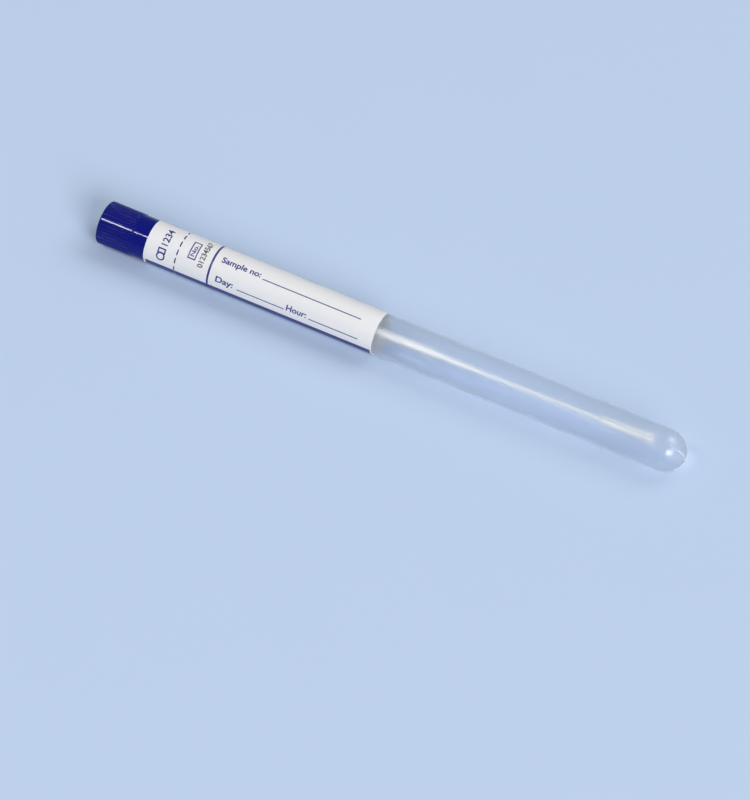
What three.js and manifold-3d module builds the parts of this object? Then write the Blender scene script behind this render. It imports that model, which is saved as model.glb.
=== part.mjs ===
// Specimen swab tube, lying on its side as it comes to rest on a bench.
//
// A flocked swab stands in a central sleeve of the push-in cap, and the cap closes a round-bottomed
// plastic tube. One paper label is wrapped round both. It tears along a perforation over the joint
// between cap and tube, so it is built as the two strips that it tears into.
//
// Millimetres, +Z up, the long axis along X with the cap at -X. Every size along the axis is given as
// its distance from the flat end of the cap, and every radius from the tube's own axis.

import * as THREE from 'three';
import { mergeVertices } from 'three/addons/utils/BufferGeometryUtils.js';
import Module from 'manifold-3d';

const wasm = await Module();
wasm.setup();

// ---------------------------------------------------------------- driving dimensions

const SIDES = 60; // facets round the tube, the label and the plug, one of them facing straight down
const FACET = (2 * Math.PI) / SIDES;
const SAG = 0.02; // how far the facets of an arc may stray from it
const PAST = 1.0; // how far a cutting body runs past the surface it cuts
const SAME_POINT = 1e-5;

const TUBE = {
  outer: 6.0,
  boreAtMouth: 5.2,
  boreAtBottom: 5.1,
  mouth: 24.75,
  bottomCentre: 172.7, // centre of the round bottom
  edgeBreak: 0.12,
  leadIn: 0.5,
};

const GATE = {
  offAxis: THREE.MathUtils.degToRad(8), // where the moulding gate was, seen from the bottom's centre
  towards: THREE.MathUtils.degToRad(246), // direction round the axis, from +Y towards +Z
  baseRadius: 0.55,
  tipRadius: 0.38,
  height: 0.4,
  root: 0.3, // how deep the nub is rooted in the wall
  sides: 12,
};

const CAP = {
  ribs: 40,
  crest: 6.2,
  valley: 6.04,
  ribLand: 0.7, // the share of the wave's height above which a rib is level
  pointsPerRib: 4,
  headRadius: 6.05,
  rimRound: 0.6,
  rimSteps: 3,
  ribEnd: 9.8,
  runOutShare: 0.6, // how much of the ribs is left half way to where they run out
  runOutEnd: 11.2,
  shoulder: 13.4, // the head ends here and the collar begins
  collar: 6.0,
  collarRoot: 1.0, // how deep the collar is rooted in the head
  collarEnd: 24.7,
};

const PLUG = {
  radius: 5.08,
  beadRadius: 5.17,
  beadHalfWidth: 0.6,
  beadHalfCrown: 0.2,
  beads: [26.4, 29.8],
  tipRadius: 4.65,
  leadIn: 1.1,
  end: 33.3,
  wall: 1.0,
  coreEnd: 12.5, // floor of the hollow between the plug's wall and the swab sleeve
  corner: 0.4,
};

const SLEEVE = {
  outer: 2.3,
  bore: 1.27,
  end: 31.5,
  endRadius: 2.2,
  boreEnd: 15.2,
  mouthRadius: 1.75,
  mouthDepth: 1.0,
  webs: 4,
  webThickness: 0.8,
  webEnd: 29.5,
  webRoot: 0.4,
};

const LABEL = {
  inner: 6.03,
  paper: 0.08,
  lapGap: 0.02,
  start: 15.0,
  perforation: 24.7,
  tearGap: 0.05,
  end: 85.55,
  freeEdge: THREE.MathUtils.degToRad(183), // where the outer end of the wrap lies, on the near side
  lapFacets: 4,
  rampFacets: 2,
};

const SWAB = {
  start: 15.4,
  end: 168.7,
  handleRadius: 1.22,
  gripRadius: 1.19, // past the breakpoint
  endRound: 0.45,
  breakpoint: 87.2,
  notchDepth: 0.34,
  notchHalfWidth: 0.45,
  notchHalfFloor: 0.1,
  coneStart: 101.1,
  coneEnd: 103.8,
  neckRadius: 0.74,
  neckEnd: 112.7,
  taperEnd: 115.0,
  shaftRadius: 0.5,
  coreRadius: 0.58,
  coreBall: 1.03,
  bow: 1.85, // how far the moulded shaft bows off the axis at its tip, away from the label's free edge
};

const FLOCK = {
  start: 152.2,
  radius: 1.24,
  ball: 1.69,
  shoulder: 0.75,
  clearance: 0.03,
  waist: 1.12,
  waistTaper: 0.7,
};

const SWAB_SIDES = 20;

// ---------------------------------------------------------------- shapes

// Points of an arc about (x, r), as the profile of a revolved surface.
function arc(x, r, radius, from, to) {
  const steps = Math.ceil(Math.abs(to - from) / (2 * Math.acos(1 - SAG / radius)));
  const points = [];
  for (let i = 0; i <= steps; i += 1) {
    const angle = from + ((to - from) * i) / steps;
    points.push([x + radius * Math.cos(angle), r + radius * Math.sin(angle)]);
  }
  return points;
}

// Revolves [distance, radius] pairs about the X axis, with a facet facing straight down.
function revolve(profile, sides = SIDES) {
  const points = profile.map(([x, r]) => new THREE.Vector2(r, x));
  const geometry = new THREE.LatheGeometry(points, sides, Math.PI / sides);
  geometry.rotateZ(-Math.PI / 2);
  return geometry;
}

// A closed body through rings of equal count, each closed by a fan to its own centre at the two ends.
function loft(rings, firstCentre, lastCentre) {
  const count = rings[0].length;
  const points = [...rings.flat(), firstCentre, lastCentre];
  const first = rings.length * count;
  const index = [];
  for (let i = 0; i < count; i += 1) {
    const next = (i + 1) % count;
    for (let k = 0; k + 1 < rings.length; k += 1) {
      const a = k * count;
      const b = a + count;
      index.push(a + i, b + next, b + i, a + i, a + next, b + next);
    }
    const last = (rings.length - 1) * count;
    index.push(first, next, i, first + 1, last + i, last + next);
  }
  const geometry = new THREE.BufferGeometry();
  geometry.setAttribute('position', new THREE.Float32BufferAttribute(points.flat(), 3));
  geometry.setIndex(index);
  return geometry;
}

// The same surface with only positions, its shared vertices merged.
function bare(geometry) {
  geometry.deleteAttribute('normal');
  geometry.deleteAttribute('uv');
  return mergeVertices(geometry, SAME_POINT);
}

function toSolid(geometry) {
  const merged = bare(geometry);
  return new wasm.Manifold(new wasm.Mesh({
    numProp: 3,
    vertProperties: new Float32Array(merged.attributes.position.array),
    triVerts: new Uint32Array(merged.index.array),
  }));
}

function toGeometry(solid) {
  const mesh = solid.getMesh();
  const geometry = new THREE.BufferGeometry();
  geometry.setAttribute('position', new THREE.BufferAttribute(mesh.vertProperties, 3));
  geometry.setIndex(new THREE.BufferAttribute(mesh.triVerts, 1));
  return geometry;
}

// ---------------------------------------------------------------- tube

// One injection moulding: a plain wall that thickens a little towards the round bottom.
function tubeWall() {
  const { outer, boreAtMouth, boreAtBottom, mouth, bottomCentre, edgeBreak, leadIn } = TUBE;
  return revolve([
    [mouth, boreAtMouth + leadIn / 2],
    [mouth, outer - edgeBreak],
    [mouth + edgeBreak, outer],
    ...arc(bottomCentre, 0, outer, Math.PI / 2, 0),
    ...arc(bottomCentre, 0, boreAtBottom, 0, Math.PI / 2),
    [mouth + leadIn, boreAtMouth],
    [mouth, boreAtMouth + leadIn / 2],
  ]);
}

// The stub left on the round bottom where the moulding was torn from its runner, a little off centre.
function gateNub() {
  const { offAxis, towards, baseRadius, tipRadius, height, root, sides } = GATE;
  const geometry = new THREE.CylinderGeometry(tipRadius, baseRadius, height + root, sides);
  geometry.translate(0, TUBE.outer - root + (height + root) / 2, 0);
  geometry.rotateZ(-Math.PI / 2 + offAxis);
  geometry.rotateX(towards);
  geometry.translate(TUBE.bottomCentre, 0, 0);
  return geometry;
}

function tubeGeometry() {
  return toGeometry(toSolid(tubeWall()).add(toSolid(gateNub())));
}

// ---------------------------------------------------------------- cap

// Radius of the finger ribs at an angle measured from straight down: level crests, rounded valleys,
// with a valley straight down so that the cap stands on the two crests beside it.
function ribRadius(angle) {
  const wave = 0.5 - 0.5 * Math.cos(CAP.ribs * angle);
  return CAP.valley + (CAP.crest - CAP.valley) * THREE.MathUtils.smoothstep(wave, 0, CAP.ribLand);
}

// One ring of the ribbed head: how far the ribs show, from 0 to 1, and how far the rim draws it in.
function headRing(x, ribShare, inset) {
  const count = CAP.ribs * CAP.pointsPerRib;
  const ring = [];
  for (let i = 0; i < count; i += 1) {
    const angle = (2 * Math.PI * i) / count;
    const full = THREE.MathUtils.lerp(CAP.headRadius, ribRadius(angle), ribShare);
    const radius = full - inset;
    ring.push([x, radius * Math.sin(angle), -radius * Math.cos(angle)]);
  }
  return ring;
}

// The gripped head: flat end, rounded rim, ribs that run out into a plain band.
function ribbedHead() {
  const { rimRound, rimSteps, ribEnd, runOutShare, runOutEnd, shoulder } = CAP;
  const rings = [];
  for (let i = 0; i <= rimSteps; i += 1) {
    const turn = (Math.PI / 2) * (i / rimSteps);
    rings.push(headRing(rimRound * (1 - Math.cos(turn)), Math.sin(turn), rimRound * (1 - Math.sin(turn))));
  }
  rings.push(headRing(ribEnd, 1, 0));
  rings.push(headRing((ribEnd + runOutEnd) / 2, runOutShare, 0));
  rings.push(headRing(runOutEnd, 0, 0));
  rings.push(headRing(shoulder, 0, 0));
  return loft(rings, [0, 0, 0], [shoulder, 0, 0]);
}

// A low rounded sealing bead on the plug.
function bead(centre) {
  const { radius, beadRadius, beadHalfWidth, beadHalfCrown } = PLUG;
  return [
    [centre - beadHalfWidth, radius],
    [centre - beadHalfCrown, beadRadius],
    [centre + beadHalfCrown, beadRadius],
    [centre + beadHalfWidth, radius],
  ];
}

// Collar, flush with the tube, and the plug that goes into it.
function collarAndPlug() {
  const { collar, collarRoot, collarEnd, shoulder } = CAP;
  const { radius, tipRadius, leadIn, end, corner } = PLUG;
  const start = shoulder - collarRoot;
  return revolve([
    [start, 0],
    [start, collar],
    [collarEnd, collar],
    [collarEnd, radius],
    ...PLUG.beads.flatMap(bead),
    [end - leadIn, radius],
    [end - corner / 2, tipRadius],
    [end, tipRadius - corner / 2],
    [end, 0],
  ]);
}

// What the mould's core leaves empty: the room round the swab sleeve, open at the plug's end.
function plugCore() {
  const { radius, wall, end, coreEnd, corner } = PLUG;
  const outer = radius - wall;
  return revolve([
    [SLEEVE.end, 0],
    [SLEEVE.end, SLEEVE.endRadius],
    [coreEnd + corner, SLEEVE.outer],
    [coreEnd, SLEEVE.outer + corner],
    [coreEnd, outer - corner],
    [coreEnd + corner, outer],
    [end - corner, outer],
    [end + corner, outer + corner],
    [end + PAST, outer + corner],
    [end + PAST, 0],
  ], SIDES / 2);
}

// The blind bore that grips the swab's handle, with a funnel at its mouth.
function sleeveBore() {
  const { bore, end, boreEnd, mouthRadius, mouthDepth } = SLEEVE;
  return revolve([
    [boreEnd, 0],
    [boreEnd, bore],
    [end - mouthDepth, bore],
    [end, mouthRadius],
    [end + PAST, mouthRadius],
    [end + PAST, 0],
  ], SWAB_SIDES);
}

// Thin webs that carry the swab sleeve in the middle of the plug.
function sleeveWebs() {
  const { outer, webs, webThickness, webEnd, webRoot } = SLEEVE;
  const from = outer - webRoot;
  const to = PLUG.radius - PLUG.wall + webRoot;
  const start = PLUG.coreEnd - webRoot;
  const made = [];
  for (let i = 0; i < webs; i += 1) {
    const web = new THREE.BoxGeometry(webEnd - start, webThickness, to - from);
    web.translate((webEnd + start) / 2, 0, (to + from) / 2);
    web.rotateX(((i + 0.5) / webs) * 2 * Math.PI);
    made.push(toSolid(web));
  }
  return made;
}

function capGeometry() {
  let cap = toSolid(ribbedHead()).add(toSolid(collarAndPlug())).subtract(toSolid(plugCore()));
  for (const web of sleeveWebs()) {
    cap = cap.add(web);
  }
  return toGeometry(cap.subtract(toSolid(sleeveBore())));
}

// ---------------------------------------------------------------- label

// A point of the wrap's section. ExtrudeGeometry works in its own XY plane, which is then turned to
// stand across the tube: its x is down and its y is +Y.
function sectionPoint(radius, angle) {
  return new THREE.Vector2(-radius * Math.sin(angle), radius * Math.cos(angle));
}

// The paper's section: one full turn that starts under its own free edge, steps up over its own
// start and ends on top of it. Its corners lie on the tube's corners, so the gap is even all round.
function wrapSection() {
  const { inner, paper, lapGap, freeEdge, lapFacets, rampFacets } = LABEL;
  const under = [];
  const over = [];
  const facets = SIDES + lapFacets;
  for (let i = 0; i <= facets; i += 1) {
    const angle = freeEdge + (i - lapFacets) * FACET;
    const climbed = THREE.MathUtils.clamp((i - (SIDES - rampFacets)) / rampFacets, 0, 1);
    const lift = climbed * (paper + lapGap);
    under.push(sectionPoint(inner + lift, angle));
    over.push(sectionPoint(inner + lift + paper, angle));
  }
  return new THREE.Shape([...under, ...over.reverse()]);
}

function labelStrip(from, to) {
  const geometry = new THREE.ExtrudeGeometry(wrapSection(), { depth: to - from, bevelEnabled: false });
  geometry.rotateY(Math.PI / 2);
  geometry.translate(from, 0, 0);
  return bare(geometry);
}

// ---------------------------------------------------------------- swab

// The bow that the moulded shaft took: it leaves the sleeve straight and curves evenly to its tip.
function bowAt(x) {
  const share = (x - SWAB.start) / (SWAB.end - SWAB.start);
  return SWAB.bow * share * share;
}

function bowed(geometry) {
  const position = geometry.attributes.position;
  for (let i = 0; i < position.count; i += 1) {
    position.setY(i, position.getY(i) + bowAt(position.getX(i)));
  }
  return geometry;
}

// A straight stretch of one radius or an even taper, in steps short enough to follow the bow.
function stretch([x0, r0], [x1, r1]) {
  const longest = 11;
  const steps = Math.ceil((x1 - x0) / longest);
  const points = [];
  for (let i = 0; i <= steps; i += 1) {
    points.push([x0 + ((x1 - x0) * i) / steps, r0 + ((r1 - r0) * i) / steps]);
  }
  return points;
}

// One moulding: handle with a rounded end, notch where it is snapped off, cone, neck, thin shaft and
// the cored end with its small ball, which the flocking covers.
function swabShaft() {
  const s = SWAB;
  const ballCentre = s.end - FLOCK.ball;
  const ballStart = Math.PI - Math.asin(s.coreRadius / s.coreBall);
  return bowed(revolve([
    [s.start, 0],
    ...arc(s.start + s.endRound, s.handleRadius - s.endRound, s.endRound, Math.PI, Math.PI / 2),
    ...stretch([s.start + 2 * s.endRound, s.handleRadius], [s.breakpoint - s.notchHalfWidth, s.handleRadius]),
    [s.breakpoint - s.notchHalfFloor, s.handleRadius - s.notchDepth],
    [s.breakpoint + s.notchHalfFloor, s.handleRadius - s.notchDepth],
    ...stretch([s.breakpoint + s.notchHalfWidth, s.gripRadius], [s.coneStart, s.gripRadius]),
    ...stretch([s.coneEnd, s.neckRadius], [s.neckEnd, s.neckRadius]),
    ...stretch([s.taperEnd, s.shaftRadius], [FLOCK.start, s.shaftRadius]),
    ...stretch([FLOCK.start + FLOCK.shoulder, s.coreRadius], [ballCentre - 2 * s.coreBall, s.coreRadius]),
    ...arc(ballCentre, 0, s.coreBall, ballStart, 0),
  ], SWAB_SIDES));
}

// Nylon fibres stood on end on the core: an even coat of one thickness, round shouldered, drawn in to
// a waist before the ball.
function flockCoat() {
  const { start, radius, ball, shoulder, clearance, waist, waistTaper } = FLOCK;
  const ballCentre = SWAB.end - ball;
  const ballStart = Math.PI - Math.asin(waist / ball);
  const innerBall = SWAB.coreBall + clearance;
  const innerCore = SWAB.coreRadius + clearance;
  const innerStart = Math.PI - Math.asin(innerCore / innerBall);
  const waistStart = ballCentre + ball * Math.cos(ballStart);
  return bowed(revolve([
    [start, SWAB.shaftRadius + clearance],
    ...arc(start + shoulder, radius - shoulder, shoulder, Math.PI, Math.PI / 2),
    ...stretch([start + 2 * shoulder, radius], [waistStart - waistTaper, radius]),
    ...arc(ballCentre, 0, ball, ballStart, 0),
    ...arc(ballCentre, 0, innerBall, 0, innerStart),
    ...stretch([start + shoulder, innerCore], [ballCentre - 2 * innerBall, innerCore]).reverse(),
    [start, SWAB.shaftRadius + clearance],
  ], SWAB_SIDES));
}

// ---------------------------------------------------------------- assembly

const MATERIALS = {
  tube: { color: 0xe8eef6, roughness: 0.32, metalness: 0, transparent: true, opacity: 0.4 },
  cap: { color: 0x0b0f5c, roughness: 0.25, metalness: 0 },
  label: { color: 0xecebe6, roughness: 0.75, metalness: 0 },
  swab: { color: 0xf3f1e8, roughness: 0.45, metalness: 0 },
  flock: { color: 0xf5f2ea, roughness: 0.95, metalness: 0 },
};

const tearHalf = LABEL.tearGap / 2;

const PIECES = [
  ['tube', tubeGeometry(), 'tube'],
  ['cap', capGeometry(), 'cap'],
  ['label_seal_strip', labelStrip(LABEL.start, LABEL.perforation - tearHalf), 'label'],
  ['label_panel', labelStrip(LABEL.perforation + tearHalf, LABEL.end), 'label'],
  ['swab_shaft', swabShaft(), 'swab'],
  ['flock_tip', flockCoat(), 'flock'],
];

const gateTip = TUBE.bottomCentre + (TUBE.outer + GATE.height) * Math.cos(GATE.offAxis)
  + GATE.tipRadius * Math.sin(GATE.offAxis);
const restHeight = CAP.crest * Math.cos(Math.PI / CAP.ribs);

const group = new THREE.Group();
group.position.set(-gateTip / 2, 0, restHeight);
for (const [name, geometry, finish] of PIECES) {
  const mesh = new THREE.Mesh(geometry, new THREE.MeshStandardMaterial(MATERIALS[finish]));
  mesh.name = name;
  group.add(mesh);
}

export default group;
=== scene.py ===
# %% [markdown]
# # Specimen swab tube
#
# A flocked swab stands in the middle of a push-in cap. The cap closes a round-bottomed tube of milky
# polypropylene, and one paper label is wrapped over the joint of the two, where it tears along a
# perforation when the cap is first pulled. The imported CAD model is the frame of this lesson: its sizes
# and its moving bodies are settled. Each step below gives one piece a finer surface in the same place,
# and a finish. The frame is loaded first, because every place is worked out from it.

# %% Load the frame
import math

import bmesh
import bpy
import numpy as np
from mathutils import Matrix, Vector


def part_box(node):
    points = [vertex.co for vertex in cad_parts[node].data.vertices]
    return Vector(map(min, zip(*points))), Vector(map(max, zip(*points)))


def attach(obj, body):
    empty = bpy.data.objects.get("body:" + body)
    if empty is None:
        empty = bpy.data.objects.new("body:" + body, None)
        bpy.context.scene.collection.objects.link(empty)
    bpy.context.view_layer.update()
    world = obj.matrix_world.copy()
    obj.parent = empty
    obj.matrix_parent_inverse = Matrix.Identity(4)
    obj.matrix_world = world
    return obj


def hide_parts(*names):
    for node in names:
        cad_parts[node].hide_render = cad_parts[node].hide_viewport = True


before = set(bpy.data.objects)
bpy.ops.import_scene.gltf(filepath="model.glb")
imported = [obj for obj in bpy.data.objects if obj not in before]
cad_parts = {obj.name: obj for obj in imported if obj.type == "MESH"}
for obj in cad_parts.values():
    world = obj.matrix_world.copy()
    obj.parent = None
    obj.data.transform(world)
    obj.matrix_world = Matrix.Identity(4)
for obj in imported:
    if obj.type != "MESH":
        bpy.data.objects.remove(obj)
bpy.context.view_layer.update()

print("packed nodes:", sorted(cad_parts))

# %% [markdown]
# ## One way to give a place
#
# Everything here is round one axis, so a place is easiest to say as three numbers: how far it is from the
# flat end of the cap, how far from the axis, and how far round. Angles start at +Y and turn up towards
# +Z, so straight up is 90 degrees, and the label's free edge is near 183. The flat end and the height of
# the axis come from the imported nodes. All other lengths are in metres, the small ones through MM, apart
# from the print's, which are in millimetres until the print is bent round the label.

# %% Places round the axis
MM = 0.001
CAP_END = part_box("cap")[0].x
AXIS_Z = (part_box("tube")[0].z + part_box("tube")[1].z) / 2
DOWN = math.radians(270)
FULL_TURN = 2 * math.pi


def place(along, radius, angle):
    """Points that lie along from the cap's flat end, at a radius from the axis, and at an angle round it."""
    along, radius, angle = np.broadcast_arrays(along, radius, angle)
    return np.stack([CAP_END + along, radius * np.cos(angle), AXIS_Z + radius * np.sin(angle)], axis=-1)


def smooth(share):
    """A share clipped to 0..1 and eased at both ends: three times its square less twice its cube."""
    share = np.clip(share, 0, 1)
    return share * share * (3 - 2 * share)


print(f"cap end at x = {CAP_END / MM:.2f} mm, axis {AXIS_Z / MM:.3f} mm above the bench")

# %% [markdown]
# ## Skins from grids
#
# A moulded piece is a profile turned round an axis, and a paper or a printed mark is a thin slab between
# two grids of points. Both could be stacks of modifiers on primitives, but a formula over whole numpy
# arrays gives the exact profile, closes every pole and edge, and can be varied along its length. So two
# helpers number the vertices of a grid and cut its squares into triangles, and one more makes the object.


# %% Squares of a grid, cut into triangles
def squares(number):
    """Two triangles for each square of a grid of vertex numbers. A square that has shrunk at a pole, where
    one vertex stands for a whole row, keeps only the triangle that has an area."""
    a, b, c, d = number[:-1, :-1], number[1:, :-1], number[1:, 1:], number[:-1, 1:]
    triangles = np.stack([a, b, c, a, c, d], axis=-1).reshape(-1, 3)
    return triangles[(triangles != np.roll(triangles, 1, axis=1)).all(axis=1)]


def turned_skin(points, loop=False):
    """A skin over rings of points. The rings run from pole to pole, or the last joins the first in a loop."""
    number = np.arange(points.shape[0] * points.shape[1]).reshape(points.shape[:2])
    if loop:
        number = np.concatenate([number, number[:1]])
    else:
        number[0] = number[0, 0]
        number[-1] = number[-1, 0]
    return points.reshape(-1, 3), squares(np.c_[number, number[:, 0]])


def slab_skin(under, over):
    """A closed slab between two grids of points: the over side, the under side turned round, and a wall
    along the rim that both grids share."""
    low = np.arange(under.shape[0] * under.shape[1]).reshape(under.shape[:2])
    rim = np.concatenate([low[0], low[1:, -1], low[-1, -2::-1], low[-2::-1, 0]])
    triangles = [squares(low)[:, ::-1], squares(low + low.size), squares(np.stack([rim, rim + low.size]))]
    return np.concatenate([under, over]).reshape(-1, 3), np.concatenate(triangles)


# %% One object from skins
def enclosed(points, triangles):
    """The volume inside a closed skin: a sixth of the triple product of each triangle's corners."""
    first, second, third = (points[triangles[:, corner]] for corner in range(3))
    return np.einsum("ij,ij->", first, np.cross(second, third)) / 6


def make_piece(name, skins, finish, body, nodes=(), crease=35):
    """An object at the origin whose mesh holds all the skins, each turned to face outwards. Edges sharper
    than the crease angle stay crisp. It rides on a body and stands for the CAD nodes named."""
    points, triangles, volume = [], [], 0
    for skin_points, skin_triangles in skins:
        inside = enclosed(skin_points, skin_triangles)
        triangles.append((skin_triangles if inside > 0 else skin_triangles[:, ::-1]) + sum(map(len, points)))
        points.append(skin_points)
        volume += abs(inside)
    mesh = bpy.data.meshes.new(name)
    mesh.from_pydata(np.concatenate(points), [], np.concatenate(triangles))
    bm = bmesh.new()
    bm.from_mesh(mesh)
    bmesh.ops.delete(bm, geom=[v for v in bm.verts if not v.link_faces], context="VERTS")
    bm.to_mesh(mesh)
    bm.free()
    mesh.shade_smooth()
    mesh.set_sharp_from_angle(angle=math.radians(crease))
    mesh.materials.append(finish)
    piece = bpy.data.objects.new(name, mesh)
    bpy.context.scene.collection.objects.link(piece)
    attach(piece, body)
    if nodes:
        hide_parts(*nodes)
    print(f"{name}: {len(mesh.polygons)} triangles, {volume / MM**3:.1f} mm3")
    return piece


# %% [markdown]
# ## Shader maths as plain arithmetic
#
# A finish is a small program of nodes. Drawn by hand it is a web of links; written as Python expressions
# it can be read. One class wraps a node's output, and adding or multiplying it makes the Math node that
# does so. Every other node comes from one method, which takes its type, its settings and its sockets.


# %% A node's output that does arithmetic
class Signal:
    """One output of a shader node. Arithmetic on it adds Math nodes to the same finish."""

    def __init__(self, socket):
        self.socket = socket

    @staticmethod
    def node(tree, kind, settings, sockets, output=0):
        """Adds a node of that type: first its settings, and then the values or the links of its sockets,
        which are given by name or by number. So is the output that the signal stands for."""
        made = tree.nodes.new(kind)
        for name, value in settings.items():
            setattr(made, name, value)
        for name, value in sockets.items():
            if isinstance(value, Signal):
                tree.links.new(value.socket, made.inputs[name])
            else:
                made.inputs[name].default_value = value
        return Signal(made.outputs[output])

    def maths(self, operation, first, second):
        """A Math node in the same finish, on two signals or numbers."""
        tree = self.socket.id_data
        return Signal.node(tree, "ShaderNodeMath", {"operation": operation}, {0: first, 1: second})

    def __add__(self, other):
        return self.maths("ADD", self, other)

    def __mul__(self, other):
        return self.maths("MULTIPLY", self, other)

    def __sub__(self, other):
        return self.maths("SUBTRACT", self, other)

    def __rsub__(self, other):
        return self.maths("SUBTRACT", other, self)

    __radd__ = __add__
    __rmul__ = __mul__


# %% What every finish starts from
def new_finish(name):
    """An empty material, and its node tree."""
    material = bpy.data.materials.new(name)
    material.use_nodes = True
    material.node_tree.nodes.clear()
    return material, material.node_tree


def show(tree, shader):
    """Sends a shader to the material's output."""
    tree.links.new(shader.socket, tree.nodes.new("ShaderNodeOutputMaterial").inputs["Surface"])


def grain(tree, size, detail=2.0, stretch=1.0):
    """Noise from 0 to 1 on Object coordinates with features of that size in metres, drawn out along X by
    the stretch: the coordinates are divided by the size, and by the stretch as well along X."""
    spot = Signal.node(tree, "ShaderNodeTexCoord", {}, {}, output="Object")
    scale = (1 / (size * stretch), 1 / size, 1 / size)
    scaled = Signal.node(tree, "ShaderNodeMapping", {}, {"Vector": spot, "Scale": scale})
    return Signal.node(tree, "ShaderNodeTexNoise", {}, {"Vector": scaled, "Scale": 1.0, "Detail": detail})


def dappled(tree, mask, first, second):
    """A colour that goes from the first to the second as the mask goes from 0 to 1. A Mix node has inputs
    for numbers, vectors and colours. Its two colours are the inputs 6 and 7, and its colour is output 2."""
    sockets = {0: mask, 6: (*first, 1), 7: (*second, 1)}
    return Signal.node(tree, "ShaderNodeMix", {"data_type": "RGBA"}, sockets, output=2)


def relief(tree, height, depth):
    """A normal tilted by a height signal, where a signal of 1 stands that depth, in metres, above 0."""
    return Signal.node(tree, "ShaderNodeBump", {}, {"Height": height, "Distance": depth})


def plastic(tree, sockets):
    """A Principled shader with the values or signals given by socket name."""
    return Signal.node(tree, "ShaderNodeBsdfPrincipled", {}, sockets)


# %% [markdown]
# ## The camera
#
# The tube lies on the bench and is looked down on from its round end's side, from far away through a
# long lens, so that its two sides stay parallel. The angles are those of the view; the shift from the
# middle of the tube is made by moving the camera sideways in its own plane.

# %% The camera
VIEW_AZIMUTH, VIEW_ELEVATION = math.radians(27.63), math.radians(51.35)
VIEW_DISTANCE, VIEW_LENS = 5.0, 823.5
VIEW_SIDEWAYS, VIEW_UPWARDS = -5.27 * MM, -16.55 * MM
VIEW_NEAR, VIEW_FAR = 0.1, 50.0

back = Vector((math.sin(VIEW_AZIMUTH) * math.cos(VIEW_ELEVATION),
               -math.cos(VIEW_AZIMUTH) * math.cos(VIEW_ELEVATION),
               math.sin(VIEW_ELEVATION)))
right = Vector((math.cos(VIEW_AZIMUTH), math.sin(VIEW_AZIMUTH), 0))
aim = Vector((0, 0, AXIS_Z)) + right * VIEW_SIDEWAYS + back.cross(right) * VIEW_UPWARDS

camera = bpy.data.objects.new("camera", bpy.data.cameras.new("camera"))
camera.data.lens = VIEW_LENS
camera.data.clip_start = VIEW_NEAR
camera.data.clip_end = VIEW_FAR
camera.location = aim + back * VIEW_DISTANCE
camera.rotation_euler = (-back).to_track_quat("-Z", "Y").to_euler()
bpy.context.scene.collection.objects.link(camera)
bpy.context.scene.camera = camera
print("camera at", [round(value, 3) for value in camera.location])

# %% [markdown]
# ## Bench and light
#
# A pale, slightly blue bench lets white paper and milky plastic stand out. A studio light for glossy
# plastic is a few soft boxes and a dim room: a long narrow box above the cap draws one thin line along
# it, and two broad boxes, off the round end and behind the tube, light the rest. Over a quarter of the
# light off the round end comes from a second lamp in the same place that shows in no gloss. No real lamp
# does that, but it lowers the glare on the tube's crest. Each lamp is written by the brightness it gives
# to white paper that faces it, so the sum is easy to keep low enough that paper doesn't clip.

# %% Bench
BENCH_COLOUR = (0.50, 0.615, 0.80)
BENCH_REACH = 4.0
MOTTLE_SIZE, MOTTLE_SHADE = 30 * MM, 0.99


def bench_finish():
    """A matt board with a faint unevenness."""
    material, tree = new_finish("bench_board")
    mottle = grain(tree, MOTTLE_SIZE)
    colour = dappled(tree, mottle, [MOTTLE_SHADE * c for c in BENCH_COLOUR], BENCH_COLOUR)
    show(tree, plastic(tree, {"Base Color": colour, "Roughness": 0.9, "Specular IOR Level": 0.2}))
    return material


bench_mesh = bpy.data.meshes.new("bench")
bench_corners = BENCH_REACH * np.array([[-1, -1, 0], [1, -1, 0], [1, 1, 0], [-1, 1, 0]])
bench_mesh.from_pydata(bench_corners, [], [[0, 1, 2, 3]])
bench_mesh.materials.append(bench_finish())
bench = bpy.data.objects.new("bench", bench_mesh)
bpy.context.scene.collection.objects.link(bench)
print("bench reaches", BENCH_REACH, "m each way")


# %% Soft boxes
OFF_ROUND_END, END_DISTANCE, END_SIZE = (0.632, -0.541, 0.553), 5.0, (2.3, 2.3)


def soft_box(name, towards, distance, size, brightness, glints=True):
    """An area lamp that faces the tube's middle, its first size along the tube. White paper that faces
    it, alone, would be that bright: the power is brightness times pi squared times distance squared.
    Without glints it lights everything but shows in no gloss."""
    data = bpy.data.lights.new(name, "AREA")
    data.shape = "RECTANGLE"
    data.size, data.size_y = size
    data.energy = brightness * math.pi**2 * distance**2
    lamp = bpy.data.objects.new(name, data)
    from_tube = Vector(towards).normalized()
    across = from_tube.cross(Vector((1, 0, 0))).normalized()
    turn = Matrix((across.cross(from_tube), across, from_tube)).transposed()
    lamp.matrix_world = Matrix.Translation(from_tube * distance) @ turn.to_4x4()
    lamp.visible_camera = False
    lamp.visible_transmission = False
    lamp.visible_glossy = glints
    bpy.context.scene.collection.objects.link(lamp)
    print(f"{name}: {data.energy:.1f} W")
    return lamp


soft_box("strip_box", (-0.38, -0.43, 0.82), 1.5, (0.28, 0.038), 0.15)
soft_box("end_box", OFF_ROUND_END, END_DISTANCE, END_SIZE, 0.46)
soft_box("end_fill", OFF_ROUND_END, END_DISTANCE, END_SIZE, 0.18, glints=False)
soft_box("rear_box", (0.373, 0.515, 0.772), 3.6, (2.6, 2.2), 0.38)

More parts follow.
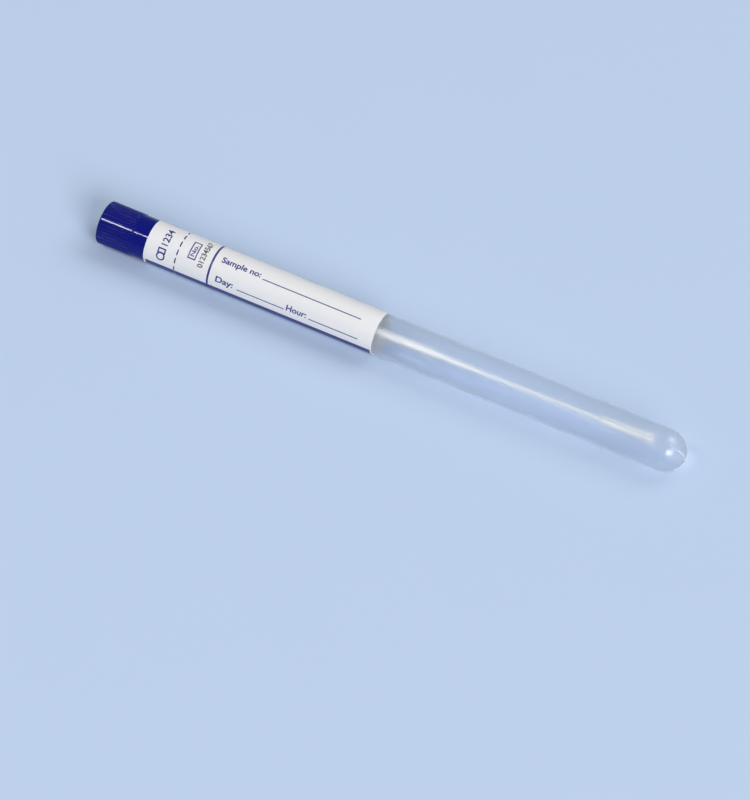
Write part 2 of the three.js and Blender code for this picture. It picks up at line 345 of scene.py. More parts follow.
# %% The dim room
ROOM_COLOUR, ROOM_STRENGTH = (0.93, 0.95, 1.0), 0.33
BACKDROP_COLOUR, BACKDROP_THROUGH = (0.52, 0.64, 0.83), 0.4
world = bpy.data.worlds.new("room")
world.use_nodes = True
bpy.context.scene.world = world
room_tree = world.node_tree
room_tree.nodes.clear()
room_sockets = {"Color": (*ROOM_COLOUR, 1), "Strength": ROOM_STRENGTH}
room = Signal.node(room_tree, "ShaderNodeBackground", {}, room_sockets)
backdrop = Signal.node(room_tree, "ShaderNodeBackground", {}, {"Color": (*BACKDROP_COLOUR, 1)})
seen = Signal.node(room_tree, "ShaderNodeLightPath", {}, {}, output="Is Camera Ray")
seen_through = Signal.node(room_tree, "ShaderNodeLightPath", {}, {}, output="Is Transmission Ray")
backdrop_share = seen + BACKDROP_THROUGH * seen_through
sky = Signal.node(room_tree, "ShaderNodeMixShader", {}, {0: backdrop_share, 1: room, 2: backdrop})
room_tree.links.new(sky.socket, room_tree.nodes.new("ShaderNodeOutputWorld").inputs["Surface"])
bpy.context.scene.view_settings.view_transform = "Standard"
print("room strength", ROOM_STRENGTH)

# %% [markdown]
# ## The tube
#
# The tube is one injection moulding with a wall a little under a millimetre thick, a round bottom and an
# open mouth. The core pulls straight out of it, and the torn gate leaves a small nub just beside the
# middle of the bottom. The two halves of the mould leave a hair of a ridge along each side. It is
# turned from one profile, outside and inside together, and the nub and the ridge are lifted from it.

# %% The tube's profile
TUBE_RADIUS, BORE_AT_MOUTH, BORE_AT_BOTTOM = 6.0 * MM, 5.2 * MM, 5.1 * MM
MOUTH, BOTTOM_CENTRE = 24.75 * MM, 172.7 * MM
MOUTH_ROUND, LEAD_IN = 0.12 * MM, 0.5 * MM
GATE_ZONE, GATE_RINGS, TUBE_SIDES, LIP_SIDES = 18, 60, 240, 120


def arc(centre_along, centre_radius, radius, start, end, steps):
    """Points of a circle's arc in the profile's plane, angles in degrees from the axis' own direction."""
    turn = np.radians(np.linspace(start, end, steps + 1))
    return np.stack([centre_along + radius * np.cos(turn), centre_radius + radius * np.sin(turn)], axis=1)


def line(start, end, steps):
    """Evenly spaced points from one (along, radius) pair to another, without the last."""
    share = np.linspace(0, 1, steps + 1)[:-1, None]
    return (1 - share) * np.array(start) + share * np.array(end)


def facing(profile):
    """The direction square to a profile at each of its points, which is outwards where the profile runs
    away from the cap. It is taken from the line between the point's neighbours."""
    run = np.gradient(profile, axis=0)
    out = np.stack([-run[:, 1], run[:, 0]], axis=1)
    return out / np.linalg.norm(out, axis=1, keepdims=True)


def round_angles(count):
    """Evenly spaced angles round the axis, the first straight down."""
    return DOWN + FULL_TURN * np.arange(count) / count


def turned(profile, angles):
    """Rings of points: each (along, radius) pair of the profile at every angle."""
    return place(profile[:, :1], profile[:, 1:2], angles[None, :])


tube_outside = np.concatenate([
    arc(BOTTOM_CENTRE, 0, TUBE_RADIUS, 0, GATE_ZONE, GATE_RINGS),
    arc(BOTTOM_CENTRE, 0, TUBE_RADIUS, GATE_ZONE + 2, 88, 34),
    line((BOTTOM_CENTRE, TUBE_RADIUS), (MOUTH + MOUTH_ROUND, TUBE_RADIUS), 40),
    arc(MOUTH + MOUTH_ROUND, TUBE_RADIUS - MOUTH_ROUND, MOUTH_ROUND, 90, 180, 4),
])
tube_inside = np.concatenate([
    arc(MOUTH + LEAD_IN, BORE_AT_MOUTH + LEAD_IN / 2, LEAD_IN / 2, 180, 270, 4),
    line((MOUTH + LEAD_IN * 2, BORE_AT_MOUTH), (BOTTOM_CENTRE, BORE_AT_BOTTOM), 40),
    arc(BOTTOM_CENTRE, 0, BORE_AT_BOTTOM, 90, 0, 36),
])
print("tube profile:", len(tube_outside), "rings outside,", len(tube_inside), "inside")

# %% The ridge and the nub
PARTING = math.radians(109.5)
RIDGE_HEIGHT, RIDGE_WIDTH = 0.09 * MM, 0.07 * MM
GATE_OFF_AXIS, GATE_TOWARDS = math.radians(8), math.radians(246)
GATE_HEIGHT, GATE_TIP, GATE_BASE = 0.37 * MM, 0.36 * MM, 0.6 * MM
gate = np.array([math.cos(GATE_OFF_AXIS),
                 math.sin(GATE_OFF_AXIS) * math.cos(GATE_TOWARDS),
                 math.sin(GATE_OFF_AXIS) * math.sin(GATE_TOWARDS)])


def mould_marks(points):
    """Lifts the outer skin along its own outward direction, from the nearest point of the axis. The ridge
    is a bell curve of the distance from the parting plane through the axis. The nub is a smooth step of
    the distance, along the surface, from the gate."""
    heart = np.zeros_like(points) + [0, 0, AXIS_Z]
    heart[..., 0] = np.minimum(points[..., 0], CAP_END + BOTTOM_CENTRE)
    out = points - heart
    out /= np.linalg.norm(out, axis=-1, keepdims=True)
    across = (points - heart) @ np.array([0, -math.sin(PARTING), math.cos(PARTING)])
    ridge = RIDGE_HEIGHT * np.exp(-((across / RIDGE_WIDTH) ** 2))
    away = TUBE_RADIUS * np.arccos(np.clip(out @ gate, -1, 1))
    nub = GATE_HEIGHT * (1 - smooth((away - GATE_TIP) / (GATE_BASE - GATE_TIP)))
    return points + out * (ridge + nub)[..., None]


ridge_steps = np.linspace(-4, 4, 17) * RIDGE_WIDTH / 2 / TUBE_RADIUS
tube_angles = np.sort(np.concatenate([
    round_angles(TUBE_SIDES) % FULL_TURN,
    PARTING + ridge_steps,
    PARTING + math.pi + ridge_steps,
]))
outer_rings = mould_marks(turned(tube_outside, tube_angles))
tube_rings = np.concatenate([outer_rings, turned(tube_inside, tube_angles)])
print("tube rings:", tube_rings.shape)

# %% [markdown]
# ## The lip, the flash and the torn gate
#
# Light that has run along inside the wall comes out at its open edge, so the lip of the mouth looks
# whiter than the wall. Flash is a thin bead of plastic that crept between the halves of the mould, and
# the gate leaves a torn face where the feed broke off. The lip and the flash get a whiter colour, which
# is painted glow for that light; the torn face is whitened by the tear itself. They could be masks in
# the wall's own finish, but the flash and the tear stand up from it with crisp edges. So each is a thin
# closed skin of its own, sunk a little into the wall.

# %% The mouth's lip
LIP_PROUD, LIP_DEPTH = 0.006 * MM, 0.12 * MM
mouth_line = np.concatenate([
    [(MOUTH + 3 * MOUTH_ROUND, TUBE_RADIUS)],
    arc(MOUTH + MOUTH_ROUND, TUBE_RADIUS - MOUTH_ROUND, MOUTH_ROUND, 90, 180, 4),
    arc(MOUTH + LEAD_IN, BORE_AT_MOUTH + LEAD_IN / 2, LEAD_IN / 2, 180, 270, 4),
])
into_wall = facing(mouth_line)
lip = np.concatenate([mouth_line - LIP_PROUD * into_wall, (mouth_line + LIP_DEPTH * into_wall)[::-1]])
lip_skin = turned_skin(turned(lip, round_angles(LIP_SIDES)), loop=True)
print("lip rings:", len(lip))

# %% The flash
FLASH_START, FLASH_BEND, FLASH_RISE = math.radians(42), 0.75, 0.2
FLASH_HALF_WIDTH, FLASH_HEIGHT, FLASH_ROOT = 0.14 * MM, 0.13 * MM, 0.05 * MM
SCAR_HEIGHT, SCAR_RADIUS = 0.4 * MM, 0.32 * MM


def on_bottom(direction, height):
    """Points over the round bottom, in a direction from its centre and at a height above its surface."""
    direction = direction / np.linalg.norm(direction, axis=-1, keepdims=True)
    return np.array([CAP_END + BOTTOM_CENTRE, 0, AXIS_Z]) + direction * (TUBE_RADIUS + height)


def flash_line():
    """A bead along the parting line over the round bottom, which bends to the gate at its end. Its height
    is a parabola across, and rises from nothing at its start."""
    share = np.linspace(0, 1, 33)[:, None, None]
    lean = FLASH_START * (1 - share)
    off_axis = np.array([math.cos(PARTING), math.sin(PARTING)])
    path = np.concatenate([np.cos(lean), np.sin(lean) * off_axis], axis=-1)
    bend = smooth((share - FLASH_BEND) / (1 - FLASH_BEND))
    path = (1 - bend) * path + bend * gate
    across = np.linspace(-1, 1, 7)[None, :, None]
    sideways = np.cross(np.gradient(path[:, 0, :], axis=0), path[:, 0, :])
    sideways /= np.linalg.norm(sideways, axis=1, keepdims=True)
    direction = path + across * sideways[:, None, :] * FLASH_HALF_WIDTH / TUBE_RADIUS
    height = FLASH_HEIGHT * smooth(share / FLASH_RISE) * (1 - across**2)
    return slab_skin(on_bottom(direction, -FLASH_ROOT), on_bottom(direction, height))


def gate_scar():
    """The torn face of the nub: a shallow dome on its tip, in a grid of rings and turns round the gate."""
    first = np.cross(gate, [0, 0, 1])
    first /= np.linalg.norm(first)
    second = np.cross(gate, first)
    reach = np.linspace(0, 1, 7)[:, None, None]
    turn = np.linspace(0, FULL_TURN, 25)[None, :-1, None]
    spread = SCAR_RADIUS / TUBE_RADIUS * reach * (np.cos(turn) * first + np.sin(turn) * second)
    top = on_bottom(gate + spread, SCAR_HEIGHT - FLASH_ROOT * reach**2)
    below = on_bottom(gate + spread[::-1], GATE_HEIGHT - FLASH_ROOT)
    return turned_skin(np.concatenate([top, below]))

# %% [markdown]
# ## Milky polypropylene
#
# Natural polypropylene isn't clear: crystals in the wall scatter a part of the light, and its satin
# skin blurs the rest, the more so the further away a thing lies behind it. A Principled shader gives
# both: rough transmission, and a soft sheen for the haze along the sides. Only the round bottom is
# polished, and gets a clear coat. Rays from the lamps would stop at such a wall, so for them alone the
# wall turns into a Transparent shader. The lip of the mouth and the flash are painted whiter, a painted
# glow for light that has run along inside the wall; the torn gate is whiter from the tear itself.

# %% The tube's finish
POLISH_START, POLISH_END = CAP_END + BOTTOM_CENTRE - 1 * MM, CAP_END + BOTTOM_CENTRE + 2 * MM


def milky_wall():
    """Satin plastic that lets lamps through, faintly cloudy, with a polished round bottom."""
    material, tree = new_finish("milky_polypropylene")
    cloud = grain(tree, 3 * MM, stretch=4)
    spot = Signal.node(tree, "ShaderNodeTexCoord", {}, {}, output="Object")
    along = Signal.node(tree, "ShaderNodeSeparateXYZ", {}, {"Vector": spot})
    polish = Signal.node(tree, "ShaderNodeMapRange", {"interpolation_type": "SMOOTHSTEP"},
                         {"Value": along, "From Min": POLISH_START, "From Max": POLISH_END})
    wall = plastic(tree, {
        "Base Color": dappled(tree, cloud, (0.955, 0.975, 0.995), (0.98, 0.99, 1.0)),
        "Roughness": 0.29 + 0.06 * cloud,
        "IOR": 1.34,
        "Transmission Weight": 0.995,
        "Sheen Weight": 0.9,
        "Sheen Roughness": 0.28,
        "Sheen Tint": (0.7, 0.85, 1.0, 1),
        "Coat Weight": 0.65 * polish,
        "Coat Roughness": 0.16,
    })
    lamps = Signal.node(tree, "ShaderNodeBsdfTransparent", {}, {"Color": (0.73, 0.73, 0.75, 1)})
    to_lamp = Signal.node(tree, "ShaderNodeLightPath", {}, {}, output="Is Shadow Ray")
    show(tree, Signal.node(tree, "ShaderNodeMixShader", {}, {0: to_lamp, 1: wall, 2: lamps}))
    return material


def whitened_and_painted_glow():
    """Rough polypropylene in a whiter colour: whitened by the tear where it is torn, and painted glow where
    it stands for light let out through its own edge. rough, and whiter in some places.
    """
    material, tree = new_finish("whitened_and_painted_glow_polypropylene")
    tears = grain(tree, 0.15 * MM)
    show(tree, plastic(tree, {
        "Base Color": dappled(tree, tears, (0.78, 0.84, 0.93), (0.90, 0.94, 1.0)),
        "Roughness": 0.35 + 0.2 * tears,
    }))
    return material


make_piece("milky_tube", [turned_skin(tube_rings)], milky_wall(), "tube", ["tube"])
# The lip and the flash take this whiter finish as painted glow; on the torn gate the whiteness is the tear's
# own.
edge = whitened_and_painted_glow()
make_piece("gate_flash", [flash_line(), gate_scar()], edge, "tube")
make_piece("mouth_lip", [lip_skin], edge, "tube")

# %% [markdown]
# ## The cap
#
# The cap is one navy moulding: a ribbed head to grip, a plain band that narrows to the tube's own
# radius, and a hollow plug with two sealing beads. A sleeve inside the plug grips the swab's handle, on
# four thin webs. All of it but the webs is one closed profile, from the middle of the flat end to the
# bottom of the sleeve's bore. Each ring also carries a share: how much of the grooves shows there.

# %% The ribs
RIBS, RIB_CREST, RIB_VALLEY = 40, 6.18 * MM, 6.04 * MM
GROOVE_BEND, GROOVE_TURN = 0.28 * MM, math.radians(60)
HEAD_RADIUS, RIM_ROUND, RIM_RISE = 6.05 * MM, 0.6 * MM, 0.75 * MM


def groove_depth(angle):
    """How deep the grooves lie under the crests, one groove straight down. Each is the arc of a circle: a
    leg of the right triangle on the distance from its middle and the bend's radius, less the bend's
    centre's height over the crests."""
    off_middle = RIB_CREST * FULL_TURN / RIBS * ((RIBS * (angle - DOWN) / FULL_TURN + 0.5) % 1 - 0.5)
    leg = np.sqrt(np.clip(GROOVE_BEND**2 - off_middle**2, 0, None))
    return np.clip(leg - (GROOVE_BEND - RIB_CREST + RIB_VALLEY), 0, None)


def ribbed(profile, angles):
    """Rings that lie under the profile by the grooves' depth times the share in its third column."""
    along, radius, share = profile[:, :1], profile[:, 1:2], profile[:, 2:3]
    return place(along, radius - share * groove_depth(angles)[None, :], angles[None, :])


groove_turns = np.linspace(-1, 1, 9) * GROOVE_TURN
rib_steps = np.concatenate([GROOVE_BEND / RIB_CREST * np.sin(groove_turns), [math.pi / RIBS]])
cap_angles = DOWN + (np.arange(RIBS)[:, None] * FULL_TURN / RIBS + rib_steps).ravel()


# %% The head's profile
RIB_END, GROOVE_END, STEP_END, SUPPORT = 9.8 * MM, 10.6 * MM, 10.75 * MM, 0.12 * MM
LABEL_START, COLLAR_RADIUS, COLLAR_END = 15.0 * MM, 6.0 * MM, 24.7 * MM
GATE_DIMPLE, DIMPLE_DEPTH, RUN_OUT_RINGS = 1.3 * MM, 0.25 * MM, 9


def plain(profile):
    """A profile of (along, radius) pairs with a share of 0: no grooves."""
    return np.c_[profile, np.zeros(len(profile))]


rim_turn = np.radians(np.linspace(0, 90, 10))
rim = np.stack([RIM_ROUND * (1 - np.cos(rim_turn)), RIB_CREST - RIM_RISE * (1 - np.sin(rim_turn)),
                np.sin(rim_turn)], axis=1)
straight = line((RIM_ROUND + SUPPORT, RIB_CREST), (RIB_END, RIB_CREST), 10)
dimple_reach = np.linspace(0, 1, 9)
dimple = np.stack([DIMPLE_DEPTH * (1 - smooth(dimple_reach)), GATE_DIMPLE * dimple_reach], axis=1)
run_out = np.linspace(0, 1, RUN_OUT_RINGS)
run_out_rings = np.stack([RIB_END + (GROOVE_END - RIB_END) * run_out, np.full(RUN_OUT_RINGS, RIB_CREST),
                          1 - smooth(run_out)], axis=1)
head = np.concatenate([
    plain(dimple),
    plain(line((0, 1.2 * GATE_DIMPLE), (0, RIB_CREST - RIM_RISE), 6)),
    rim,
    np.c_[straight, np.ones(len(straight))],
    run_out_rings,
    plain(line((STEP_END, HEAD_RADIUS), (LABEL_START, COLLAR_RADIUS), 8)),
    plain(line((LABEL_START, COLLAR_RADIUS), (COLLAR_END, COLLAR_RADIUS), 4)),
])
print("head rings:", len(head))

# %% The plug, the hollow and the sleeve
PLUG_RADIUS, PLUG_TIP, PLUG_END, PLUG_WALL = 5.08 * MM, 4.65 * MM, 33.3 * MM, 1.0 * MM
BEAD_RADIUS, BEAD_HALF_WIDTH, BEADS = 5.17 * MM, 0.6 * MM, (26.4 * MM, 29.8 * MM)
LEAD_TAPER, CORNER, CORE_END = 1.1 * MM, 0.4 * MM, 12.5 * MM
COLLAR_EASE, PLUG_ROOT = 0.05 * MM, 0.1 * MM
SLEEVE_RADIUS, SLEEVE_END = 2.3 * MM, 31.5 * MM
SLEEVE_BORE, BORE_END, FUNNEL_RADIUS, FUNNEL_DEPTH = 1.27 * MM, 15.2 * MM, 1.75 * MM, 1.0 * MM


def bead(centre):
    """A low sealing bead: the plug's radius plus half a cosine wave over the bead's width."""
    share = np.linspace(-1, 1, 13)
    height = (BEAD_RADIUS - PLUG_RADIUS) * (0.5 + 0.5 * np.cos(math.pi * share))
    return np.stack([centre + BEAD_HALF_WIDTH * share, PLUG_RADIUS + height], axis=1)


hollow = PLUG_RADIUS - PLUG_WALL
half_corner = CORNER / 2
plug = np.concatenate([
    [(COLLAR_END, COLLAR_RADIUS - COLLAR_EASE), (COLLAR_END, PLUG_RADIUS + PLUG_ROOT),
     (COLLAR_END + PLUG_ROOT, PLUG_RADIUS)],
    bead(BEADS[0]),
    bead(BEADS[1]),
    [(PLUG_END - LEAD_TAPER, PLUG_RADIUS), (PLUG_END - CORNER, PLUG_TIP + half_corner / 2)],
    arc(PLUG_END - half_corner, PLUG_TIP - half_corner, half_corner, 80, 0, 5),
    arc(PLUG_END - half_corner, hollow + half_corner, half_corner, 0, -90, 5),
    line((PLUG_END - CORNER, hollow), (CORE_END + CORNER, hollow), 6),
    arc(CORE_END + CORNER, hollow - CORNER, CORNER, 90, 180, 5),
    arc(CORE_END + CORNER, SLEEVE_RADIUS + CORNER, CORNER, 180, 270, 5),
    line((CORE_END + 2 * CORNER, SLEEVE_RADIUS), (SLEEVE_END - half_corner, SLEEVE_RADIUS), 6),
    arc(SLEEVE_END - half_corner, SLEEVE_RADIUS - half_corner, half_corner, 90, 0, 5),
    [(SLEEVE_END, FUNNEL_RADIUS), (SLEEVE_END - FUNNEL_DEPTH, SLEEVE_BORE)],
    [(BORE_END, SLEEVE_BORE), (BORE_END, 0)],
])
cap_rings = ribbed(np.concatenate([head, plain(plug)]), cap_angles)
print("cap rings:", cap_rings.shape)

# %% The webs round the sleeve
WEBS, WEB_HALF, WEB_START, WEB_END = 4, 0.4 * MM, 12.2 * MM, 29.5 * MM
WEB_FROM, WEB_TO = 2.0 * MM, 4.4 * MM
WEB_NOSE_SHARE, WEB_BLUNT = 0.8, 0.02 * MM


def web(angle):
    """A thin slab that stands along the axis between the sleeve and the plug: two grids of points, half a
    thickness to each side of its middle plane, which draw together in a round nose at the plug's end."""
    nose = np.concatenate([[0.0], np.linspace(WEB_NOSE_SHARE, 1, 9)])
    along = WEB_START + (WEB_END - WEB_START) * nose
    half = WEB_HALF * np.sqrt(np.clip((WEB_END + WEB_BLUNT - along) / WEB_HALF, 0, 1))
    radius = np.linspace(WEB_FROM, WEB_TO, 4)[None, :]
    sides = []
    for side in (-1, 1):
        flat = place(along[:, None], radius, angle)
        sideways = np.array([0, -math.sin(angle), math.cos(angle)])
        sides.append(flat + side * half[:, None, None] * sideways)
    return slab_skin(*sides)


web_skins = [web((turn + 0.5) / WEBS * FULL_TURN) for turn in range(WEBS)]

# %% [markdown]
# ## Glossy navy plastic
#
# The cap is moulded in a polished mould in a deep navy. Its colour is a dark base that keeps a lot of
# blue, under the plain reflection of any plastic. What makes it look moulded is a very slight
# unevenness of the gloss, with fine scuffs that run along the ribs where fingers and other caps rub.

# %% The cap's finish
def navy_moulding():
    """Deep navy, glossy, with a faint waviness and scuffs."""
    material, tree = new_finish("navy_moulding")
    waviness = grain(tree, 0.8 * MM, detail=1.0)
    scuffs = grain(tree, 0.07 * MM, detail=3.0, stretch=25)
    show(tree, plastic(tree, {
        "Base Color": dappled(tree, scuffs, (0.0012, 0.004, 0.155), (0.0022, 0.006, 0.18)),
        "Roughness": 0.07 + 0.08 * scuffs,
        "Specular IOR Level": 0.2,
        "Normal": relief(tree, waviness, 0.0012 * MM),
        "IOR": 1.5,
    }))
    return material


make_piece("navy_cap", [turned_skin(cap_rings), *web_skins], navy_moulding(), "cap", ["cap"])

# %% [markdown]
# ## The label
#
# The label is one sheet, wrapped once round with its free end stuck down over its own start. Its section
# is a spiral: it starts under the free edge, goes once round on the tube, climbs over its own start and
# ends on top of it. Where cap and tube meet, the sheet is cut through in short slits, so that it tears
# there. The two strips that it tears into ride on different bodies, so each is its own piece.

# %% The wrap's section
PAPER, LAP_GAP, WRAP_INNER = 0.08 * MM, 0.004 * MM, 6.03 * MM
FREE_EDGE, LAP, CLIMB = math.radians(183), math.radians(24), math.radians(12)
TEAR_LINE, LABEL_END = 24.7 * MM, 85.55 * MM


def wrap_lift(angle):
    """How far the sheet stands off the first layer, at an angle that counts on past a full turn: nothing
    until it meets its own start, then a smooth step up by the paper and a hair of glue."""
    climb_start = FREE_EDGE + FULL_TURN - LAP - CLIMB
    return (PAPER + LAP_GAP) * smooth((angle - climb_start) / CLIMB)


def label_top(angle):
    """The radius of the label's outer face at any angle, whichever layer is outermost there."""
    wound = FREE_EDGE + (angle - FREE_EDGE) % FULL_TURN
    return WRAP_INNER + PAPER + wrap_lift(wound)


wrap_angles = np.linspace(FREE_EDGE - LAP, FREE_EDGE + FULL_TURN, 640)
print(f"label's outer radius {label_top(0.0) / MM:.2f} to {label_top(FREE_EDGE - 0.01) / MM:.2f} mm")

# %% The tear line's slits
SLITS, SLIT_SHARE, SLIT_STEP, SLIT_WIDTH, TEAR_GAP = 15, 0.66, 0.04, 0.38 * MM, 0.02 * MM


def slit_depth(angle):
    """How far a slit cuts back the cap's strip: the full width over each slit, nothing at the ties between
    them, with a steep smooth step from one to the other."""
    share = (angle / FULL_TURN * SLITS) % 1
    rise = smooth(share / SLIT_STEP) * (1 - smooth((share - SLIT_SHARE) / SLIT_STEP))
    return SLIT_WIDTH * rise


def strip(start, end):
    """One strip of the wrap between two edges that are given for every angle: the under and over faces
    are grids along the wrap, a paper's thickness apart."""
    share = np.linspace(0, 1, 7)[:, None]
    along = (1 - share) * start + share * end
    radius = WRAP_INNER + wrap_lift(wrap_angles)
    return slab_skin(place(along, radius, wrap_angles), place(along, radius + PAPER, wrap_angles))


even = np.zeros_like(wrap_angles)
seal_skin = strip(even + LABEL_START, TEAR_LINE - TEAR_GAP / 2 - slit_depth(wrap_angles))
panel_skin = strip(even + TEAR_LINE + TEAR_GAP / 2, even + LABEL_END)

# %% [markdown]
# ## Label paper
#
# The paper is a coated white that is a little warm. Seen close, its fibres make a cloudy mottle and a
# fine tooth, which keep it from looking like plastic. It reflects a soft sheen only at a low angle.

# %% The label's finish
CLOUD_SHARE, GLOW_SHARE = 0.6, 0.25


def label_paper():
    """Coated paper: a warm white with fibre mottle, and a fine tooth."""
    material, tree = new_finish("label_paper")
    fibres = grain(tree, 0.12 * MM, detail=4.0, stretch=3)
    clouds = grain(tree, 1.6 * MM, detail=2.0)
    mottle = CLOUD_SHARE * clouds + (1 - CLOUD_SHARE) * fibres
    sheet = plastic(tree, {
        "Base Color": dappled(tree, mottle, (0.92, 0.915, 0.91), (0.98, 0.975, 0.97)),
        "Roughness": 0.5 + 0.2 * fibres,
        "Normal": relief(tree, fibres, 0.004 * MM),
        "Specular IOR Level": 0.3,
    })
    glow = Signal.node(tree, "ShaderNodeBsdfTranslucent", {}, {"Color": (0.95, 0.95, 0.97, 1)})
    show(tree, Signal.node(tree, "ShaderNodeMixShader", {}, {0: GLOW_SHARE, 1: sheet, 2: glow}))
    return material


paper = label_paper()
make_piece("label_seal", [seal_skin], paper, "cap", ["label_seal_strip"])
make_piece("label_sheet", [panel_skin], paper, "tube", ["label_panel"])

# %% [markdown]
# ## Print
#
# The print is ink a few thousandths of a millimetre thick. It could be a mask in the paper's own
# finish, but a mask blurs when it is baked to a picture. Thin closed slabs, bent round the paper, stay
# crisp at any distance. The rules and frames are patches between two distances and two angles. The words
# are plain captions of a form to fill in.

# %% Patches of ink
INK_HEIGHT, INK_DEPTH = 0.006 * MM, 0.004 * MM
PRINT_STEP = math.radians(1.5)
FRONT = math.radians(126)


def patch(start, end, low, high, cut=0):
    """Ink between two distances in millimetres from the cap's end and two angles in degrees from the
    label's front, which grow towards the free edge. With a cut of 1 its far end is cut back by the tear
    line's slits."""
    steps = max(2, int(abs(high - low) / math.degrees(PRINT_STEP)) + 2)
    angle = FRONT + np.radians(np.linspace(low, high, steps))[None, :]
    along = np.concatenate([0 * angle + start * MM, end * MM - cut * slit_depth(angle)])
    return slab_skin(place(along, label_top(angle) - INK_DEPTH, angle),
                     place(along, label_top(angle) + INK_HEIGHT, angle))


def frame_of(start, end, low, high, width):
    """A rectangle's outline of four patches that meet at its corners."""
    turn = math.degrees(width * MM / (WRAP_INNER + PAPER))
    return [patch(start, start + width, low, high), patch(end - width, end, low, high),
            patch(start + width, end - width, low, low + turn),
            patch(start + width, end - width, high - turn, high)]


# %% Words of ink
LETTER_DEPTH, LETTER_SWELL, LETTER_CUT = 0.01, 0.022, 0.1
LETTER_BANDS = np.linspace(-0.2, 0.9, 12)


def letters(text):
    """A line of text as flat closed triangles, at a type size of 1. It is cut into bands both ways, so
    that it can bend."""
    curve = bpy.data.curves.new("letters", "FONT")
    curve.body = text
    curve.extrude = LETTER_DEPTH
    curve.offset = LETTER_SWELL
    curve.resolution_u = 4
    writer = bpy.data.objects.new("letters", curve)
    mesh = bpy.data.meshes.new_from_object(writer)
    bm = bmesh.new()
    bm.from_mesh(mesh)
    bmesh.ops.remove_doubles(bm, verts=bm.verts, dist=1e-5)
    for height in LETTER_BANDS:
        everything = bm.verts[:] + bm.edges[:] + bm.faces[:]
        bmesh.ops.bisect_plane(bm, geom=everything, plane_co=(0, height, 0), plane_no=(0, 1, 0))
    for across in np.arange(LETTER_CUT, max(v.co.x for v in bm.verts), LETTER_CUT):
        everything = bm.verts[:] + bm.edges[:] + bm.faces[:]
        bmesh.ops.bisect_plane(bm, geom=everything, plane_co=(across, 0, 0), plane_no=(1, 0, 0))
    bmesh.ops.triangulate(bm, faces=bm.faces)
    points = np.array([v.co for v in bm.verts])
    triangles = np.array([[v.index for v in face.verts] for face in bm.faces])
    bm.free()
    bpy.data.objects.remove(writer)
    bpy.data.curves.remove(curve)
    bpy.data.meshes.remove(mesh)
    return points, triangles


def on_label(points, along, angle, capital, across=False):
    """Bends flat letters round the label. Their baseline starts at the distance in millimetres and the
    angle in degrees given. They read along the tube, or across it with their tops towards the cap."""
    flat = points * [capital, capital, 1]
    ahead, up = (flat[:, 1] * -1, flat[:, 0]) if across else (flat[:, 0], flat[:, 1])
    turn = FRONT + math.radians(angle) - up * MM / (WRAP_INNER + PAPER)
    height = np.where(points[:, 2] > 0, INK_HEIGHT, -INK_DEPTH)
    return place((along + ahead) * MM, label_top(turn) + height, turn)


def words(text, along, angle, length, capital, across=False):
    """A line of text as ink: letters narrowed or widened to the length, with capitals of that height."""
    points, triangles = letters(text)
    points[:, 0] = (points[:, 0] - points[:, 0].min()) / np.ptp(points[:, 0]) * length / capital
    points[:, 1] /= CAPITAL_HEIGHT
    return on_label(points, along, angle, capital, across), triangles


CAPITAL_HEIGHT = np.ptp(letters("H")[0][:, 1])
print(f"a capital is {CAPITAL_HEIGHT:.3f} of the type size")

# %% The printed marks
RING_STEPS = 48
# A navy band from just past the label's free edge round its underside, past the silhouette: a narrow printed
# line along its upper edge, and below that painted shade where the underside faces the bench.
PRINT_AND_PAINTED_SHADE, PRINT_AND_SHADE_CLEAR, PRINT_AND_SHADE_MARGIN = (58.5, 93), 0.03, 0.5
INK_THINNING, INK_PALING = 0.85, 0.03


def ring_mark(along, angle, outer, width):
    """A plain printed ring of that outer radius and stroke width, in millimetres: a slab between two
    circles, which are drawn flat and then bent round the label."""
    turn = np.linspace(0, FULL_TURN, RING_STEPS + 1)[None, :]
    radius = np.array([outer - width, outer])[:, None]
    ahead = (along + radius * np.cos(turn)) * MM
    around = FRONT + math.radians(angle) + radius * np.sin(turn) * MM / (WRAP_INNER + PAPER)
    return slab_skin(place(ahead, label_top(around) - INK_DEPTH, around),
                     place(ahead, label_top(around) + INK_HEIGHT, around))


def ink(name, red, green, blue):
    """Printing ink, which takes unevenly on the paper's fibres."""
    material, tree = new_finish(name)
    take = grain(tree, 0.1 * MM, detail=3.0)
    thin = [INK_THINNING * c + INK_PALING for c in (red, green, blue)]
    show(tree, plastic(tree, {
        "Base Color": dappled(tree, take, (red, green, blue), thin),
        "Roughness": 0.26 + 0.15 * take,
    }))
    return material


navy_ink = ink("navy_ink", 0.012, 0.016, 0.20)
jet_ink = ink("inkjet_ink", 0.07, 0.07, 0.09)

